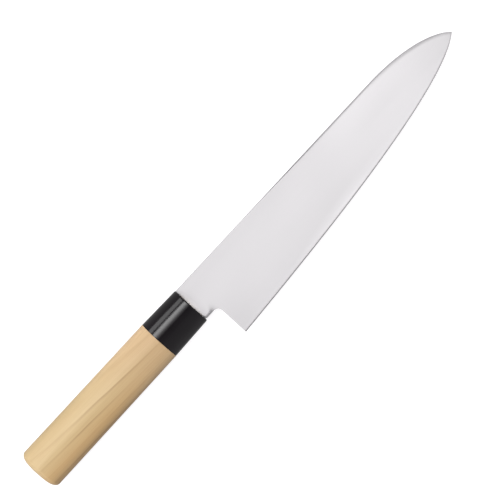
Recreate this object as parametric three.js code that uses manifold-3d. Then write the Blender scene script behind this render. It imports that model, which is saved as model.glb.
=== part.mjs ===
// Gyuto: a Japanese chef's knife with a hidden tang, a resin ferrule and a D-section handle of ho wood.
//
// Millimetres. While it is built, the ferrule's mouth is at x = 0 on the handle's axis: +X runs to the tip,
// +Y towards the spine and +Z out of the blade's right face. The finished knife lies on its left side, with
// its origin at the bottom centre of its box.

import * as THREE from 'three';
import { mergeVertices } from 'three/addons/utils/BufferGeometryUtils.js';
import Module from 'manifold-3d';

// Blade outline, seen from the right
const BLADE_LENGTH = 208;
const NECK_LENGTH = 10;
const NECK_HEIGHT = 23.9;
const NECK_CORNER_RADIUS = 1;
const CHOIL_RADIUS = 3.5;
const SPINE_RISE = 12.2;
const SPINE_FALL = 1;
const HEEL_DEPTH = 33.6;
const TIP_DROP = 4.1;

// The spine runs straight to the point, then falls to the tip
const POINT_LENGTH = 55;
const POINT_START_REACH = 37;
const POINT_TIP_REACH = 5;
const POINT_TIP_ANGLE = 57;

// The edge leaves the heel almost flat and curves up to the tip
const EDGE_HEEL_REACH = 73;
const EDGE_HEEL_ANGLE = 3.1;
const EDGE_TIP_REACH = 30.4;
const EDGE_TIP_ANGLE = 37.7;

// Blade thickness: full at the neck, with a distal taper that steepens at the point, a slightly convex grind
// up to a flat band along the spine, and a small bevel at the edge
const SPINE_THICKNESS = 2;
const TIP_THICKNESS = 1.2;
const POINT_SLOPE = 0.03;
const SPINE_EASE = 0.6;
const FLAT_BAND = 8;
const GRIND_POWER = 1.15;
const EDGE_SHOULDER = 0.3;
const EDGE_BEVEL = 0.7;
const TIP_BLUNT = 0.15;
const NECK_RUNOUT = 14;
const LARGEST_EASE_SHARE = 0.7;
const LARGEST_BEVEL_SHARE = 0.25;
const LARGEST_BAND_SHARE = 0.4;

// Hidden tang, in a bed of resin
const TANG_RELIEF = 0.2;
const TANG_END_HEIGHT = 6;
const RESIN_BED = 1.2;
const BOND_GAP = 0.3;
const SEAT_GAP = 0.1;

// D-section handle: heights along Y, widths along Z
const MOUTH_HEIGHT = 25.2;
const MOUTH_WIDTH = 19;
const JOINT_HEIGHT = 26.6;
const JOINT_WIDTH = 20;
const BUTT_HEIGHT = 27.4;
const BUTT_WIDTH = 20.8;
const RIDGE_RISE = 1.7;
const RIDGE_ROUND = 2.4;
const UPPER_FLANK_ANGLE = 13;
const LOWER_FLANK_ANGLE = 15;
const FLANK_FULLNESS = 0.42;
const OVAL_FULLNESS = 0.56;

const FERRULE_LENGTH = 27.4;
const FERRULE_WALL = 2.5;
const FERRULE_EASE = 1;
const TENON_CHEEK = 2.8;
const TENON_CHAMFER = 0.6;
const WOOD_LENGTH = 104;
const BUTT_WOOD = 44;
const BUTT_ROUND_DEPTH = 4;
const BUTT_ROUND_INSET = 7.5;
const LARGEST_INSET_SHARE = 0.4;

// How finely curves are divided
const CORNER_STEPS = 8;
const EASE_STEPS = 3;
const GRIND_ROWS = 7;
const RUNOUT_STEPS = 4;
const BLADE_STEPS = 26;
const BLADE_CROWDING = 1.5;
const FLANK_STEPS = 12;
const RIDGE_STEPS = 4;
const HALVINGS = 40;

// What follows from the sizes above
const HANDLE_LENGTH = FERRULE_LENGTH + WOOD_LENGTH;
const NECK_BOTTOM = SPINE_RISE - NECK_HEIGHT;
const TIP_X = NECK_LENGTH + BLADE_LENGTH;
const MORTISE_DEPTH = HANDLE_LENGTH - BUTT_WOOD;
const BORE_HEIGHT = Math.min(MOUTH_HEIGHT, JOINT_HEIGHT) - 2 * FERRULE_WALL;
const BORE_WIDTH = Math.min(MOUTH_WIDTH, JOINT_WIDTH) - 2 * FERRULE_WALL;
const TENON_HEIGHT = BORE_HEIGHT - 2 * BOND_GAP;
const TENON_WIDTH = BORE_WIDTH - 2 * BOND_GAP;
const TANG_ROOT_HEIGHT = TENON_HEIGHT - 2 * (TENON_CHEEK + RESIN_BED);
const TANG_THICKNESS = SPINE_THICKNESS - TANG_RELIEF;

const { degToRad, lerp, smoothstep } = THREE.MathUtils;
const point = (x, y) => new THREE.Vector2(x, y);
const towards = (from, reach, angle) =>
  point(from.x + reach * Math.cos(degToRad(angle)), from.y + reach * Math.sin(degToRad(angle)));

const wasm = await Module();
wasm.setup();

// A closed geometry as a solid that can be joined and cut
function solidOf(geometry) {
  geometry.deleteAttribute('normal');
  geometry.deleteAttribute('uv');
  const merged = mergeVertices(geometry);
  return new wasm.Manifold(new wasm.Mesh({
    numProp: 3,
    vertProperties: new Float32Array(merged.attributes.position.array),
    triVerts: new Uint32Array(merged.index.array),
  }));
}

function geometryOf(solid) {
  const { vertProperties, triVerts } = solid.getMesh();
  const geometry = new THREE.BufferGeometry();
  geometry.setAttribute('position', new THREE.BufferAttribute(vertProperties, 3));
  geometry.setIndex(new THREE.BufferAttribute(triVerts, 1));
  geometry.computeVertexNormals();
  return geometry;
}

// A skin over rings along +X, each with as many points anticlockwise seen from the tip, closed by flat ends
function loft(rings) {
  const count = rings[0].length;
  const last = rings.length - 1;
  const faces = [];
  for (let i = 0; i < last; i++) {
    for (let j = 0; j < count; j++) {
      const here = i * count + j;
      const beside = i * count + (j + 1) % count;
      faces.push(here, beside, here + count);
      faces.push(beside, beside + count, here + count);
    }
  }
  for (const [a, b, c] of endFaces(rings[0])) {
    faces.push(a, c, b);
  }
  for (const corners of endFaces(rings[last])) {
    faces.push(...corners.map((corner) => last * count + corner));
  }
  const geometry = new THREE.BufferGeometry().setFromPoints(rings.flat());
  geometry.setIndex(faces);
  return solidOf(geometry);
}

function endFaces(ring) {
  return THREE.ShapeUtils.triangulateShape(ring.map(({ y, z }) => point(y, z)), []);
}

// A flat outline in X and Y given an even thickness about the blade's middle plane
function plate(shape, thickness) {
  const geometry = new THREE.ExtrudeGeometry(shape, {
    depth: thickness,
    bevelEnabled: false,
    curveSegments: CORNER_STEPS,
  });
  return solidOf(geometry.translate(0, 0, -thickness / 2));
}

// The blade's two outlines both end at the tip
const tip = point(TIP_X, -TIP_DROP);
const heel = point(NECK_LENGTH, -HEEL_DEPTH);

function spineOutline() {
  const mouth = point(0, SPINE_RISE);
  const bend = point(TIP_X - POINT_LENGTH, SPINE_RISE - SPINE_FALL);
  const fall = THREE.MathUtils.radToDeg(bend.clone().sub(mouth).angle());
  const outline = new THREE.CurvePath();
  outline.add(new THREE.LineCurve(mouth, bend));
  outline.add(new THREE.CubicBezierCurve(
    bend,
    towards(bend, POINT_START_REACH, fall),
    towards(tip, POINT_TIP_REACH, 180 - POINT_TIP_ANGLE),
    tip,
  ));
  return outline;
}

// Behind the heel the edge is drawn on, for the neck to be cut from the same ground blank
function edgeOutline() {
  const back = towards(heel, -NECK_LENGTH, EDGE_HEEL_ANGLE).setX(0);
  const outline = new THREE.CurvePath();
  outline.add(new THREE.LineCurve(back, heel));
  outline.add(new THREE.CubicBezierCurve(
    heel,
    towards(heel, EDGE_HEEL_REACH, EDGE_HEEL_ANGLE),
    towards(tip, EDGE_TIP_REACH, 180 + EDGE_TIP_ANGLE),
    tip,
  ));
  return outline;
}

// Height of an outline at a place along the knife; the outline always runs forwards
function heightAt(outline, x) {
  let before = 0;
  let after = 1;
  for (let halving = 0; halving < HALVINGS; halving++) {
    const middle = (before + after) / 2;
    if (outline.getPoint(middle).x < x) {
      before = middle;
    } else {
      after = middle;
    }
  }
  return outline.getPoint(before).y;
}

// Half of the blade's thickness at a point of its side, a given height above the edge of a section
function halfThickness(x, y, aboveEdge, { bevel, grindTop, height }) {
  const taper = lerp(SPINE_THICKNESS, TIP_THICKNESS, x / TIP_X) / 2;
  const full = Math.min(taper, EDGE_SHOULDER / 2 + POINT_SLOPE * height);
  const climb = THREE.MathUtils.clamp((aboveEdge - bevel) / (grindTop - bevel), 0, 1);
  const thin = EDGE_SHOULDER / SPINE_THICKNESS;
  const ground = lerp(thin, 1, 1 - (1 - climb) ** GRIND_POWER);
  const besideNeck = 1 - smoothstep(x, NECK_LENGTH - CHOIL_RADIUS, NECK_LENGTH + NECK_RUNOUT);
  const levelWithNeck = smoothstep(y, NECK_BOTTOM - NECK_RUNOUT, NECK_BOTTOM);
  return full * lerp(ground, 1, besideNeck * levelWithNeck);
}

// One cross-section of the blade: sharp at the edge, ground up to the flat band, eased at the spine
function bladeRing(x, spine, edge) {
  const spineY = heightAt(spine, x);
  const edgeY = heightAt(edge, x);
  const height = spineY - edgeY;
  const bevel = Math.min(EDGE_BEVEL, height * LARGEST_BEVEL_SHARE);
  const ease = Math.min(SPINE_EASE, height * LARGEST_BEVEL_SHARE);
  const easeStart = height - ease;
  const grindTop = height - Math.max(2 * ease, Math.min(FLAT_BAND, height * LARGEST_BAND_SHARE));
  const section = { bevel, grindTop, height };

  const side = [];
  for (let row = 0; row <= GRIND_ROWS; row++) {
    const aboveEdge = lerp(bevel, grindTop, row / GRIND_ROWS);
    const half = halfThickness(x, edgeY + aboveEdge, aboveEdge, section);
    side.push(point(edgeY + aboveEdge, half));
  }
  const cheek = halfThickness(x, edgeY + easeStart, easeStart, section);
  const easeIn = Math.min(ease, cheek * LARGEST_EASE_SHARE);
  for (let step = 0; step <= EASE_STEPS; step++) {
    const turn = degToRad(90 * step / EASE_STEPS);
    side.push(point(
      edgeY + easeStart + ease * Math.sin(turn),
      cheek - easeIn * (1 - Math.cos(turn)),
    ));
  }
  const left = side.map(({ x: y, y: half }) => new THREE.Vector3(x, y, -half));
  const right = side.map(({ x: y, y: half }) => new THREE.Vector3(x, y, half));
  return [new THREE.Vector3(x, edgeY, 0), ...left, ...right.reverse()];
}

// Places of the cross-sections: even behind the heel and in the run-out, then closer towards the tip
function bladePlaces() {
  const runoutEnd = NECK_LENGTH + NECK_RUNOUT;
  const places = [];
  for (let step = 0; step < RUNOUT_STEPS; step++) {
    places.push(lerp(SEAT_GAP, NECK_LENGTH, step / RUNOUT_STEPS));
  }
  for (let step = 0; step < RUNOUT_STEPS; step++) {
    places.push(lerp(NECK_LENGTH, runoutEnd, step / RUNOUT_STEPS));
  }
  for (let step = 0; step <= BLADE_STEPS; step++) {
    const share = 1 - (1 - step / BLADE_STEPS) ** BLADE_CROWDING;
    places.push(lerp(runoutEnd, TIP_X - TIP_BLUNT, share));
  }
  return places;
}

// What is cut away below the neck, with the choil's fillet and the neck's rounded rear corner
function choilCut() {
  const below = -2 * HEEL_DEPTH;
  const cornerX = SEAT_GAP + NECK_CORNER_RADIUS;
  const cornerY = NECK_BOTTOM + NECK_CORNER_RADIUS;
  const shape = new THREE.Shape();
  shape.moveTo(-NECK_LENGTH, below);
  shape.lineTo(NECK_LENGTH, below);
  shape.absarc(NECK_LENGTH - CHOIL_RADIUS, NECK_BOTTOM - CHOIL_RADIUS, CHOIL_RADIUS, 0, Math.PI / 2, false);
  shape.absarc(cornerX, cornerY, NECK_CORNER_RADIUS, -Math.PI / 2, -Math.PI, true);
  shape.lineTo(-NECK_LENGTH, cornerY);
  return plate(shape, 2 * SPINE_THICKNESS);
}

// The tang, or the space round it, from a place at its front back to a rounded end
function tangSpace(front, grow) {
  const root = TANG_ROOT_HEIGHT / 2 + grow;
  const end = TANG_END_HEIGHT / 2 + grow;
  const back = -MORTISE_DEPTH + RESIN_BED - grow;
  const shape = new THREE.Shape();
  shape.moveTo(front, -root);
  shape.lineTo(front, root);
  shape.absarc(back + end, 0, end, Math.PI / 2, 3 * Math.PI / 2, false);
  return plate(shape, TANG_THICKNESS + 2 * grow);
}

function bladeSolid() {
  const spine = spineOutline();
  const edge = edgeOutline();
  const blank = loft(bladePlaces().map((x) => bladeRing(x, spine, edge)));
  return blank.subtract(choilCut()).add(tangSpace(NECK_LENGTH / 2, 0));
}

// Handle's D section: two flanks meeting at a soft ridge on the right, and an oval left side
function handleRing(x, height, width) {
  const top = height / 2;
  const side = width / 2;
  const corner = OVAL_FULLNESS * side;
  const shrink = height / BUTT_HEIGHT;
  const ridge = point(RIDGE_RISE * shrink, side);
  const round = RIDGE_ROUND * shrink;
  const above = towards(ridge, round, -UPPER_FLANK_ANGLE);
  const below = towards(ridge, round, 180 + LOWER_FLANK_ANGLE);
  const reach = FLANK_FULLNESS * top;
  const curves = [
    [new THREE.CubicBezierCurve(
      point(top, 0), point(top, corner), towards(above, reach, -UPPER_FLANK_ANGLE), above,
    ), FLANK_STEPS],
    [new THREE.QuadraticBezierCurve(above, ridge, below), RIDGE_STEPS],
    [new THREE.CubicBezierCurve(
      below, towards(below, reach, 180 + LOWER_FLANK_ANGLE), point(-top, corner), point(-top, 0),
    ), FLANK_STEPS],
    [new THREE.CubicBezierCurve(
      point(-top, 0), point(-top, -corner), point(-OVAL_FULLNESS * top, -side), point(0, -side),
    ), FLANK_STEPS],
    [new THREE.CubicBezierCurve(
      point(0, -side), point(OVAL_FULLNESS * top, -side), point(top, -corner), point(top, 0),
    ), FLANK_STEPS],
  ];
  const outline = curves.flatMap(([curve, steps]) => curve.getPoints(steps).slice(0, -1));
  return outline.map(({ x: y, y: z }) => new THREE.Vector3(x, y, z));
}

// Rings of the ferrule's and the wood's tapered outer faces, set in by an inset where a rim is rounded
function ferruleRing(x, inset) {
  const back = -x / FERRULE_LENGTH;
  const height = lerp(MOUTH_HEIGHT, JOINT_HEIGHT, back);
  const width = lerp(MOUTH_WIDTH, JOINT_WIDTH, back);
  return handleRing(x, height - 2 * inset, width - 2 * inset);
}

function woodRing(x, inset) {
  const back = (-x - FERRULE_LENGTH) / WOOD_LENGTH;
  const height = lerp(JOINT_HEIGHT, BUTT_HEIGHT, back);
  const width = lerp(JOINT_WIDTH, BUTT_WIDTH, back);
  return handleRing(x, height - 2 * inset, width - 2 * inset);
}

// A quarter round in steps: the share of its depth along the handle and of its inset that each ring has
function roundSteps(steps) {
  return Array.from({ length: steps + 1 }, (_, step) => {
    const turn = degToRad(90 * step / steps);
    return { along: Math.sin(turn), inwards: 1 - Math.cos(turn) };
  });
}

function ferruleSolid() {
  const rim = roundSteps(EASE_STEPS).map(({ along, inwards }) =>
    ferruleRing(-FERRULE_EASE * (1 - along), FERRULE_EASE * inwards));
  const collar = loft([ferruleRing(-FERRULE_LENGTH, 0), ...rim]);
  const bore = loft([
    handleRing(-FERRULE_LENGTH - FERRULE_WALL, BORE_HEIGHT, BORE_WIDTH),
    handleRing(FERRULE_WALL, BORE_HEIGHT, BORE_WIDTH),
  ]);
  return collar.subtract(bore);
}

function handleSolid() {
  const shoulder = -FERRULE_LENGTH - SEAT_GAP;
  const inset = Math.min(BUTT_ROUND_INSET, BUTT_WIDTH * LARGEST_INSET_SHARE);
  const rim = roundSteps(2 * EASE_STEPS).reverse().map(({ along, inwards }) =>
    woodRing(-HANDLE_LENGTH + BUTT_ROUND_DEPTH * (1 - along), inset * inwards));
  const grip = loft([...rim, woodRing(shoulder, 0)]);
  const tenon = loft([
    handleRing(shoulder - FERRULE_WALL, TENON_HEIGHT, TENON_WIDTH),
    handleRing(-SEAT_GAP - TENON_CHAMFER, TENON_HEIGHT, TENON_WIDTH),
    handleRing(-SEAT_GAP, TENON_HEIGHT - 2 * TENON_CHAMFER, TENON_WIDTH - 2 * TENON_CHAMFER),
  ]);
  return grip.add(tenon).subtract(tangSpace(RESIN_BED, RESIN_BED));
}

function tangAdhesiveSolid() {
  return tangSpace(-SEAT_GAP, RESIN_BED - BOND_GAP).subtract(tangSpace(RESIN_BED, BOND_GAP));
}

// The pieces, each with its own finish
const pieces = [
  ['blade', bladeSolid(), { color: '#dcdadd', metalness: 1, roughness: 0.35 }],
  ['ferrule', ferruleSolid(), { color: '#1d1c1e', metalness: 0, roughness: 0.3 }],
  ['handle', handleSolid(), { color: '#dcbd90', metalness: 0, roughness: 0.6 }],
  ['tang_adhesive', tangAdhesiveSolid(), { color: '#d9cfae', metalness: 0, roughness: 0.5 }],
];

const knife = new THREE.Group();
for (const [name, solid, finish] of pieces) {
  const mesh = new THREE.Mesh(geometryOf(solid), new THREE.MeshStandardMaterial(finish));
  mesh.name = name;
  knife.add(mesh);
}

// The knife lies on its left side, over the middle of its box
const box = new THREE.Box3().setFromObject(knife);
const middle = box.getCenter(new THREE.Vector3());
knife.position.set(-middle.x, -middle.y, -box.min.z);

export default knife;
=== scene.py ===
"""Gyuto knife: the finished look of the blade, the ferrule and the handle around the packed solids."""

import math

import bmesh
import bpy
from bpy.props import FloatProperty, FloatVectorProperty, PointerProperty
from mathutils import Matrix, Vector
from mathutils.geometry import interpolate_bezier


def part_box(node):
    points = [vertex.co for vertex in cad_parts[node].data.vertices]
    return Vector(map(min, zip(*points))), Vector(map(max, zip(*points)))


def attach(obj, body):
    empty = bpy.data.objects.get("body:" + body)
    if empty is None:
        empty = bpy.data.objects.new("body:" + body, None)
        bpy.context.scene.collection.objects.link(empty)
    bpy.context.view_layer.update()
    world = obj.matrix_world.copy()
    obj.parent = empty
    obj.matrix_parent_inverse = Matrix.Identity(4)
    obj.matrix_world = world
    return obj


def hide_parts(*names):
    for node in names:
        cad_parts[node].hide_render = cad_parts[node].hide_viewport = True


bl_info = {
    "name": "Gyuto knife",
    "version": (1, 0, 0),
    "blender": (4, 5, 0),
    "location": "View3D > Sidebar > Gyuto",
    "description": "Builds a gyuto with a hidden tang, a resin ferrule and a D-section wooden handle",
    "category": "Object",
}

MM = 0.001

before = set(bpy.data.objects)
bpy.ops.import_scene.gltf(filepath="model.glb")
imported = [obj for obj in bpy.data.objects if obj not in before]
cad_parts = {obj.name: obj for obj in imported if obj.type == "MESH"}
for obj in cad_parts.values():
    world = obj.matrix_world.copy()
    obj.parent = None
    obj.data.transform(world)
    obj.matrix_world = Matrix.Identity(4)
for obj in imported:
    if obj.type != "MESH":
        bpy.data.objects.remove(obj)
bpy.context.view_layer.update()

# The pieces are built with the ferrule's mouth at x = 0 on the handle's axis, +X towards the tip and +Y
# towards the spine, and then moved to where the solids lie.
ferrule_low, ferrule_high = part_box("ferrule")
blade_low, blade_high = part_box("blade")
MOUTH = Vector((
    ferrule_high.x,
    (ferrule_low.y + ferrule_high.y) / 2,
    (blade_low.z + blade_high.z) / 2,
))


# Small helpers

def linear(hex_colour):
    """An sRGB hex value as linear red, green, blue and alpha."""
    channels = [int(hex_colour[i:i + 2], 16) / 255 for i in (1, 3, 5)]
    return (*[c / 12.92 if c <= 0.04045 else ((c + 0.055) / 1.055) ** 2.4 for c in channels], 1.0)


def size(name, description, millimetres):
    return FloatProperty(
        name=name,
        description=description,
        default=millimetres * MM,
        min=0.0,
        precision=4,
        unit="LENGTH",
        subtype="DISTANCE",
    )


def angle(name, description, degrees):
    return FloatProperty(
        name=name,
        description=description,
        default=math.radians(degrees),
        unit="ROTATION",
        subtype="ANGLE",
    )


def share(name, description, value):
    return FloatProperty(name=name, description=description, default=value, min=0.0, subtype="FACTOR")


def colour(name, description, hex_colour):
    return FloatVectorProperty(
        name=name,
        description=description,
        default=linear(hex_colour),
        size=4,
        min=0.0,
        max=1.0,
        subtype="COLOR",
    )


def amount(name, description, value):
    return FloatProperty(name=name, description=description, default=value, min=0.0)


def lerp(a, b, t):
    return a + (b - a) * t


def smoothstep(value, low, high):
    t = min(max((value - low) / (high - low), 0.0), 1.0)
    return t * t * (3 - 2 * t)


def towards(start, reach, turn):
    return start + Vector((math.cos(turn), math.sin(turn))) * reach


# What a user would change

class BladeSizes(bpy.types.PropertyGroup):
    """Sizes of the blade and its tang"""

    length: size("Length", "From the heel to the tip", 208)
    neck_length: size("Neck length", "From the ferrule's mouth to the heel", 10)
    neck_height: size("Neck height", "Height of the neck at the ferrule", 23.9)
    neck_corner: size("Neck corner", "Radius of the neck's rear corner", 1)
    choil_radius: size("Choil radius", "Fillet between the neck and the heel", 3.5)
    seat_gap: size("Seat gap", "Gap between the neck and the mouth", 0.1)
    spine_rise: size("Spine rise", "Spine above the handle's axis at the mouth", 12.2)
    spine_fall: size("Spine fall", "How far the straight spine falls", 1)
    heel_depth: size("Heel depth", "Heel below the handle's axis", 33.6)
    tip_drop: size("Tip drop", "Tip below the handle's axis", 4.1)
    point_length: size("Point length", "Length of the curved spine", 55)
    point_start_reach: size("Point start reach", "Handle of the curved spine at its start", 37)
    point_tip_reach: size("Point tip reach", "Handle of the curved spine at the tip", 5)
    point_tip_angle: angle("Point tip angle", "Fall of the spine at the tip", 57)
    edge_heel_reach: size("Edge heel reach", "Handle of the edge at the heel", 73)
    edge_heel_angle: angle("Edge heel angle", "Rise of the edge at the heel", 3.1)
    edge_tip_reach: size("Edge tip reach", "Handle of the edge at the tip", 30.4)
    edge_tip_angle: angle("Edge tip angle", "Rise of the edge at the tip", 37.7)
    spine_thickness: size("Spine thickness", "Thickness at the neck", 2)
    tip_thickness: size("Tip thickness", "Thickness that the spine tapers to", 1.2)
    point_slope: share("Point slope", "Slope of a side that the point is thinned to", 0.03)
    spine_ease: size("Spine ease", "Chamfer on the spine's corners", 1.15)
    spine_ease_neck: size("Spine ease at the neck", "The same chamfer near the handle", 0.2)
    spine_ease_start: size("Spine ease start", "Where the chamfer starts to widen", 50)
    spine_ease_full: size("Spine ease full", "Where the chamfer has its full width", 135)
    grind_power: amount("Grind power", "How convex the grind is", 1.02)
    edge_shoulder: size("Edge shoulder", "Thickness behind the edge bevel", 0.3)
    edge_bevel: size("Edge bevel", "Height of the edge bevel", 0.7)
    tip_blunt: size("Tip blunt", "Length by which the tip is blunted", 0.15)
    neck_runout: size("Neck run-out", "Length in which the grind runs out at the neck", 35)
    neck_ease: size("Neck ease", "Height of the rounding below the neck", 1.9)
    neck_ease_depth: size("Neck ease depth", "How far the rounding below the neck is drawn in", 0.75)
    neck_ease_end: size("Neck ease end", "Where the rounding below the neck has run out", 10.5)
    tang_height: size("Tang height", "Height of the tang at its root", 11.6)
    tang_end_height: size("Tang end height", "Height of the tang at its end", 6)
    tang_thickness: size("Tang thickness", "Thickness of the tang", 1.8)
    tang_length: size("Tang length", "Length of the tang in the handle", 86.2)


class HandleSizes(bpy.types.PropertyGroup):
    """Sizes of the ferrule and of the handle"""

    mouth_height: size("Mouth height", "Height of the ferrule at its mouth", 25.2)
    mouth_width: size("Mouth width", "Width of the ferrule at its mouth", 19)
    joint_height: size("Joint height", "Height where the ferrule meets the wood", 26.6)
    joint_width: size("Joint width", "Width where the ferrule meets the wood", 20)
    butt_height: size("Butt height", "Height at the butt", 27.4)
    butt_width: size("Butt width", "Width at the butt", 20.8)
    ridge_rise: size("Ridge rise", "Ridge above the handle's axis", 1.7)
    ridge_round: size("Ridge round", "Length of flank that the ridge's rounding takes", 2.4)
    upper_flank: angle("Upper flank", "Slope of the upper flank at the ridge", 13)
    lower_flank: angle("Lower flank", "Slope of the lower flank at the ridge", 15)
    flank_fullness: share("Flank fullness", "How far the flanks stay straight", 0.42)
    oval_fullness: share("Oval fullness", "How full the oval left side is", 0.56)
    ferrule_length: size("Ferrule length", "Length of the ferrule", 27.4)
    ferrule_ease: size("Ferrule ease", "Rounding of the ferrule's front rim", 1)
    joint_ease: size("Joint ease", "Rounding where the ferrule meets the wood", 0.12)
    bore_height: size("Bore height", "Height of the ferrule's bore", 20.2)
    bore_width: size("Bore width", "Width of the ferrule's bore", 14)
    tenon_gap: size("Tenon gap", "Room round the tenon in the bore", 0.3)
    tenon_chamfer: size("Tenon chamfer", "Chamfer on the tenon's front", 0.6)
    tenon_setback: size("Tenon setback", "How far the tenon ends inside the mouth", 0.1)
    mortise_height: size("Mortise height", "Height of the tang's slot at the mouth", 14)
    mortise_end_height: size("Mortise end height", "Height of the tang's slot at its end", 8.4)
    mortise_width: size("Mortise width", "Width of the tang's slot", 4.2)
    mortise_depth: size("Mortise depth", "Depth of the tang's slot", 87.4)
    wood_length: size("Wood length", "Length of the wood behind the ferrule", 104)
    butt_round_depth: size("Butt round depth", "Length of the rounded butt rim", 4)
    butt_round_inset: size("Butt round inset", "How far the butt's rim is drawn in", 7.5)


class KnifeFinishes(bpy.types.PropertyGroup):
    """Colours of the materials"""

    steel: colour("Steel", "Satin stainless steel of the blade", "#c1bfc1")
    # Painted shade: the steel beside the ferrule is darker, where the ferrule shades it
    steel_neck_shade: colour("Steel at the neck", "Darker steel beside the ferrule", "#b8b6b8")
    steel_honed: colour("Honed steel", "Steel of the edge bevel", "#acaaac")
    steel_ground: colour("Ground steel", "Duller steel of the spine's corners", "#bcbabc")
    # Painted light: the steel before the point is made brighter
    steel_point_light: colour("Steel at the point", "Brighter steel before the point", "#c7c5c7")
    steel_mouth: colour("Steel at the mouth", "Palest steel, next to the ferrule's mouth", "#d9d7d9")
    # Painted light: a brighter band above the middle of the edge
    steel_edge_light: colour("Steel above the edge", "Brighter steel above the edge's middle", "#cccacc")
    # Painted shade: darker steel along the point's spine
    steel_spine_shade: colour("Steel at the spine", "Darker steel along the point's spine", "#979597")
    resin: colour("Resin", "Black resin of the ferrule", "#0d0a0d")
    resin_worn: colour("Worn resin", "Resin where polishing has greyed it", "#151215")
    earlywood: colour("Earlywood", "Pale wood between the growth lines", "#bea67d")
    latewood: colour("Latewood", "Darker wood towards a growth line", "#bba278")
    growth_line: colour("Growth line", "The thin line that ends a year's growth", "#997e56")
    fibre: colour("Fibre", "Dark fibres and pores", "#aa9068")
    sapwood: colour("Sapwood", "Paler wood along the top, near the ferrule", "#cfb68d")
    # Painted shade: a darker, warmer tint over the lower half of the wood
    lower_half_shade_tint: colour("Heart tint", "What multiplies the wood's tone towards the heart", "#f4e3ce")
    front_tint: colour("Front tint", "What multiplies the wood's tone at the ferrule", "#fff8fb")
    # Painted shade: a darker, greyer tint along the wood's lower edge
    lower_edge_shade_tint: colour("Lower tint", "What multiplies the wood's tone at its lower edge", "#ebf1ff")
    heart: FloatVectorProperty(
        name="Heart",
        description="Heart of the tree that the handle was cut from, seen from the ferrule's mouth",
        default=(-80 * MM, -35.2 * MM, -38.1 * MM),
        unit="LENGTH",
        subtype="XYZ",
    )
    epoxy: colour("Epoxy", "Bedding resin round the tang", "#d9cfae")
    floor: colour("Floor", "White acrylic of the light table", "#fefdfe")
    room: colour("Room", "Walls and ceiling of the studio", "#fdfcfd")


class StudioSizes(bpy.types.PropertyGroup):
    """Camera, lights and floor"""

    camera_height: size("Camera height", "Camera above the middle of the blade", 1100)
    camera_turn: angle("Camera turn", "Turn of the picture about the vertical", -47.44)
    picture_width: size("Picture width", "What the picture spans at the blade", 288.8)
    view_ahead: FloatProperty(
        name="View ahead",
        description="Middle of the picture ahead of the ferrule's mouth",
        default=46.4 * MM,
        unit="LENGTH",
    )
    view_aside: FloatProperty(
        name="View aside",
        description="Middle of the picture to the spine's side of the handle's axis",
        default=-3.37 * MM,
        unit="LENGTH",
    )
    key_strength: amount("Key", "Radiance of the graded softbox at its brightest; white is 1", 5.3)
    side_strength: amount("Side", "Radiance of the lower strip light", 1.9)
    fill_strength: amount("Fill", "Radiance of the weak panel on the edge's side", 0.09)
    end_strength: amount("End", "Radiance of the panel behind the butt", 1.7)
    blade_strength: amount("Blade panel", "Radiance of the broad panel that lights the blade", 1.62)
    wall_strength: amount("Walls", "Radiance of the room at the horizon", 0.52)
    ceiling_strength: amount("Ceiling", "Radiance of the room straight above", 0.1)
    backdrop_strength: amount("Backdrop", "Radiance of the room where the camera sees it", 0.95)
    table_glow: amount("Table glow", "Radiance of the light table by itself", 0.86)
    floor_radius: size("Floor radius", "Radius of the floor", 7000)


# Shapes

# Points closer than this are one point
MERGE_DISTANCE = 0.0005 * MM
# How far a point may be off a plane that it lies in
WALL_TOLERANCE = 0.001 * MM
EDGE_TOLERANCE = 0.0001 * MM
# Edges that turn by more than this stay sharp in the shading
HANDLE_CREASE = math.radians(40)
BLADE_CREASE = math.radians(35)


def mesh_piece(bm, name, slot, node, *materials):
    """Puts a finished shape in its place as an object, hangs it on the root body, and hides the solid
    that it stands for.
    """
    for face in bm.faces:
        face.smooth = True
    bmesh.ops.translate(bm, vec=MOUTH, verts=bm.verts)
    mesh = bpy.data.meshes.new(name)
    bm.to_mesh(mesh)
    bm.free()
    for material in materials:
        mesh.materials.append(material)
    piece = bpy.data.objects.new(name, mesh)
    bpy.context.scene.collection.objects.link(piece)
    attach(piece, "root")
    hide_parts(node)
    return piece


def turn_outwards(bm):
    bmesh.ops.remove_doubles(bm, verts=bm.verts, dist=MERGE_DISTANCE)
    bmesh.ops.recalc_face_normals(bm, faces=bm.faces)


def sharpen(bm, limit):
    for edge in bm.edges:
        edge.smooth = edge.calc_face_angle(0.0) < limit


def drawn_out(bm, faces, along, high, wide, keep=False):
    """Extrudes an end's faces along the knife, scales them about its axis, and returns the new end."""
    made = bmesh.ops.extrude_face_region(bm, geom=faces)["geom"]
    if not keep:
        bmesh.ops.delete(bm, geom=faces, context="FACES")
    verts = [item for item in made if isinstance(item, bmesh.types.BMVert)]
    bmesh.ops.scale(bm, vec=(1.0, high, wide), verts=verts)
    bmesh.ops.translate(bm, vec=(along, 0.0, 0.0), verts=verts)
    return [item for item in made if isinstance(item, bmesh.types.BMFace)]


SECTION_STEPS = 22
RIDGE_STEPS = 9
RIM_STEPS = 5
SHOULDER_STEPS = 2
BUTT_STEPS = 12
# How far the handles of the ridge's curve go towards the corner that it rounds
RIDGE_PULL = 2 / 3


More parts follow.
